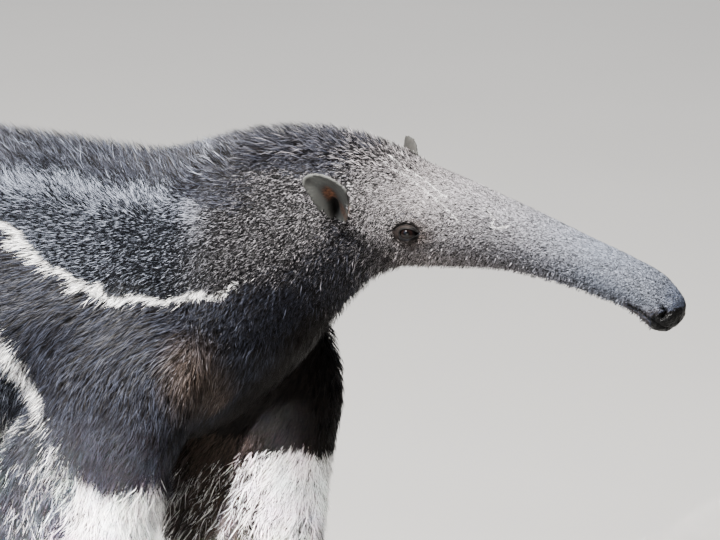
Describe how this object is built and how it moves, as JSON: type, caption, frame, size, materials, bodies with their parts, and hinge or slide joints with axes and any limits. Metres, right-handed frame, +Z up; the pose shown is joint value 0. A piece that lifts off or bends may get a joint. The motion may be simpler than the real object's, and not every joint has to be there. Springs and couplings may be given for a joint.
{
  "type": "giant anteater",
  "caption": "Life-size standing giant anteater: long tubular snout, small round ears, shaggy striped coat, deep brush of a tail, clawed fists for forefeet.",
  "frame": {"origin": "middle of the whole model's box, on the floor it stands on", "axes": "+X towards the animal's head, +Y towards its left side, +Z up"},
  "size_m": [1.9784, 0.296, 0.644],
  "materials": {
    "bare_skin": "moist bare skin of the nose",
    "face_hair": "short flat grizzled hair",
    "grizzled_hair": "coarse hair banded black and white",
    "dark_hair": "coarse near-black hair",
    "pale_hair": "coarse whitish hair",
    "brush_hair": "long stiff dark brown hair",
    "eye": "wet and glossy",
    "horn": "worn horn"
  },
  "bodies": {
    "root": {"chest": "dark_hair", "head": "face_hair", "left_ear": "face_hair", "left_eye": "eye", "left_fore_claw_1": "horn", "left_fore_claw_2": "horn", "left_fore_claw_3": "horn", "left_fore_claw_4": "horn", "left_forearm": "pale_hair", "left_forefoot": "dark_hair", "left_hind_claw_1": "horn", "left_hind_claw_2": "horn", "left_hind_claw_3": "horn", "left_hind_claw_4": "horn", "left_hind_claw_5": "horn", "left_hind_foot": "dark_hair", "left_shank": "dark_hair", "left_thigh": "dark_hair", "left_upper_arm": "dark_hair", "lower_jaw": "face_hair", "neck": "grizzled_hair", "nose": "bare_skin", "right_ear": "face_hair", "right_eye": "eye", "right_fore_claw_1": "horn", "right_fore_claw_2": "horn", "right_fore_claw_3": "horn", "right_fore_claw_4": "horn", "right_forearm": "pale_hair", "right_forefoot": "dark_hair", "right_hind_claw_1": "horn", "right_hind_claw_2": "horn", "right_hind_claw_3": "horn", "right_hind_claw_4": "horn", "right_hind_claw_5": "horn", "right_hind_foot": "dark_hair", "right_shank": "dark_hair", "right_thigh": "dark_hair", "right_upper_arm": "dark_hair", "rump": "grizzled_hair", "snout": "face_hair", "tail_brush": "brush_hair", "tail_end": "brush_hair", "tail_root": "brush_hair", "trunk": "grizzled_hair"}
  },
  "joints": []
}
